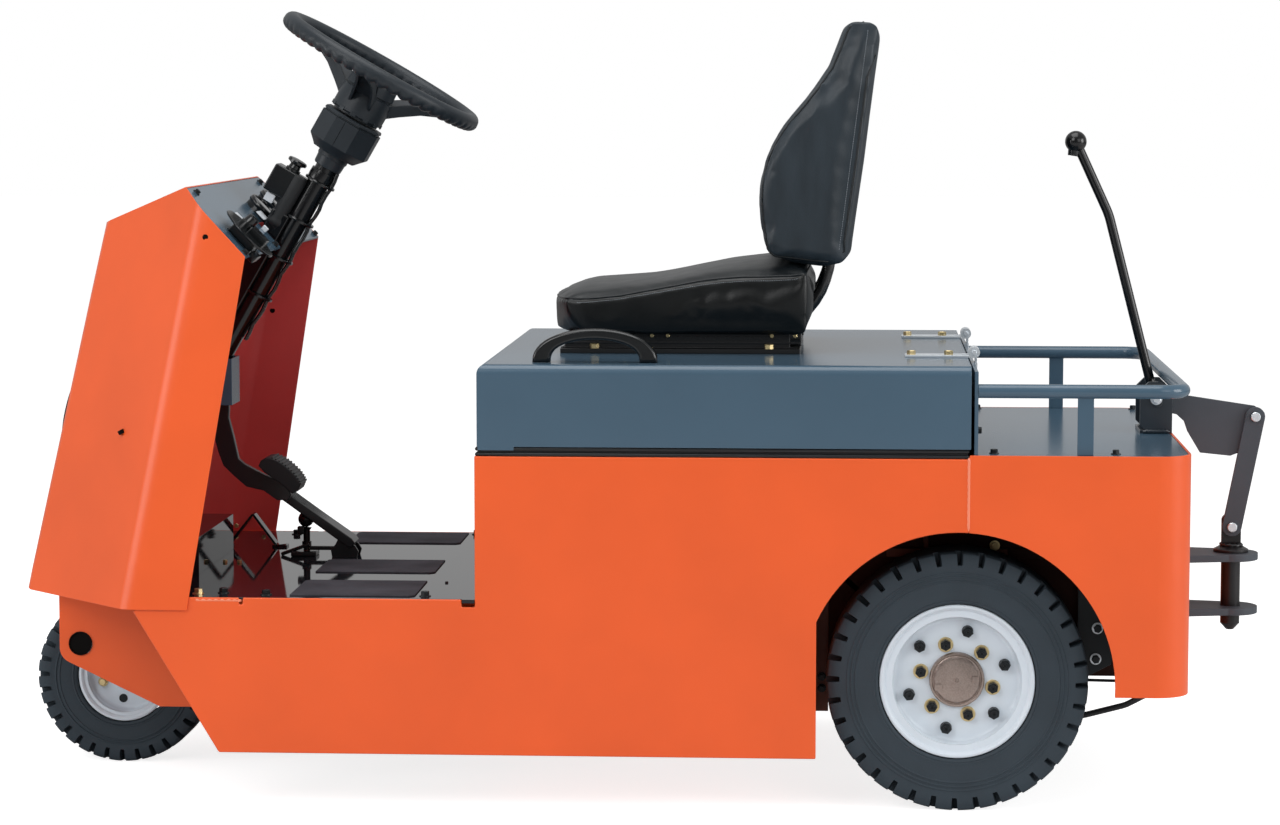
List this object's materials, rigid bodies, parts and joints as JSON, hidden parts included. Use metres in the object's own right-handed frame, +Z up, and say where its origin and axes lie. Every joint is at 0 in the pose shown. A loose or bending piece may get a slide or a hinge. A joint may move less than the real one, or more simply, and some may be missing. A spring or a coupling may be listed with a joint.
{
  "type": "airport baggage tug",
  "caption": "Compact ride-on electric tow tractor with a steered front wheel, folded cowl, open footwell, hinged battery cover with seat, load rail and lever-lifted tow pin",
  "frame": {"origin": "on the floor under the middle of the overall box", "axes": "+X forward, +Y to the driver's left, +Z up"},
  "size_m": [2.0704, 0.849, 1.2724],
  "materials": {
    "orange_paint": "semi-gloss enamel",
    "grey_paint": "semi-gloss enamel",
    "black_paint": "gloss enamel",
    "cast_black": "painted casting",
    "zinc_plate": "zinc plated",
    "rim_paint": "light grey enamel",
    "tyre_rubber": "moulded",
    "black_plastic": "satin moulded",
    "seat_vinyl": "embossed vinyl",
    "black_rubber": "matt",
    "lamp_glass": "clear"
  },
  "bodies": {
    "chassis": {"side_plate_left": "orange_paint", "side_plate_right": "orange_paint", "rear_body": "orange_paint", "front_frame": "orange_paint", "rear_frame": "orange_paint", "battery_tray": "orange_paint", "cowl": "orange_paint", "dash_panel": "grey_paint", "rear_deck": "grey_paint", "rear_bulkhead": "grey_paint", "load_rail": "grey_paint", "floor_plate": "black_paint", "front_tunnel": "black_paint", "steering_column": "black_paint", "brake_pedal": "black_paint", "accelerator_pedal": "black_paint", "lever_bracket": "black_paint", "drawbar": "black_paint", "steering_head": "cast_black", "rear_axle": "cast_black", "fixed_hinge_leaves": "zinc_plate", "column_housing": "black_plastic", "dash_gauges": "black_plastic", "battery_block": "black_plastic", "anti_slip_mats": "black_rubber", "cover_seal": "black_rubber", "headlamps": "lamp_glass"},
    "cover": {"battery_cover": "grey_paint", "cover_hinge_leaves": "zinc_plate", "cover_handle": "black_plastic", "seat_base": "black_paint", "seat_cushion": "seat_vinyl", "seat_frame": "black_paint", "seat_back": "seat_vinyl"},
    "tow_lever_body": {"tow_lever": "black_paint"},
    "tow_link_body": {"tow_link": "black_paint"},
    "tow_pin_body": {"tow_pin": "black_paint"},
    "fork": {"front_fork": "cast_black"},
    "front_wheel": {"front_tyre": "tyre_rubber", "front_rim": "rim_paint"},
    "rear_wheel_left": {"rear_tyre_left": "tyre_rubber", "rear_rim_left": "rim_paint"},
    "rear_wheel_right": {"rear_tyre_right": "tyre_rubber", "rear_rim_right": "rim_paint"},
    "steering_wheel_body": {"steering_wheel": "black_plastic"}
  },
  "joints": [
    {"name": "cover_hinge", "type": "hinge", "parent": "chassis", "child": "cover", "pos_m": [-0.54425, 0, 0.7213], "axis": [0, -1, 0], "range_deg": [0, 45]},
    {"name": "lever_pivot", "type": "hinge", "parent": "chassis", "child": "tow_lever_body", "pos_m": [-0.85325, 0, 0.626], "axis": [0, 1, 0], "range_deg": [0, 42]},
    {"name": "link_eye", "type": "hinge", "parent": "tow_lever_body", "child": "tow_link_body", "pos_m": [-1.01925, 0, 0.5995], "axis": [0, 1, 0], "range_deg": [-34.6, 0]},
    {"name": "tow_pin_slide", "type": "slide", "parent": "chassis", "child": "tow_pin_body", "axis": [0, 0, 1], "range_m": [0, 0.1152]},
    {"name": "steer", "type": "hinge", "parent": "chassis", "child": "fork", "pos_m": [0.88775, 0, 0.317], "axis": [0, 0, 1], "range_deg": [-75, 75]},
    {"name": "front_wheel_spin", "type": "hinge", "parent": "fork", "child": "front_wheel", "pos_m": [0.88775, 0, 0.1475], "axis": [0, 1, 0], "continuous": true},
    {"name": "rear_left_spin", "type": "hinge", "parent": "chassis", "child": "rear_wheel_left", "pos_m": [-0.51725, 0.315, 0.2075], "axis": [0, 1, 0], "continuous": true},
    {"name": "rear_right_spin", "type": "hinge", "parent": "chassis", "child": "rear_wheel_right", "pos_m": [-0.51725, -0.315, 0.2075], "axis": [0, 1, 0], "continuous": true},
    {"name": "steering_wheel_turn", "type": "hinge", "parent": "chassis", "child": "steering_wheel_body", "pos_m": [0.44375, 0, 1.174], "axis": [-0.5, 0, 0.866], "range_deg": [-300, 300]}
  ],
  "couplings": [
    {"joint": "link_eye", "follows": "lever_pivot", "ratio": -0.8183},
    {"joint": "tow_pin_slide", "follows": "lever_pivot", "m_per_rad": 0.1566},
    {"joint": "steering_wheel_turn", "follows": "steer", "ratio": 4}
  ]
}
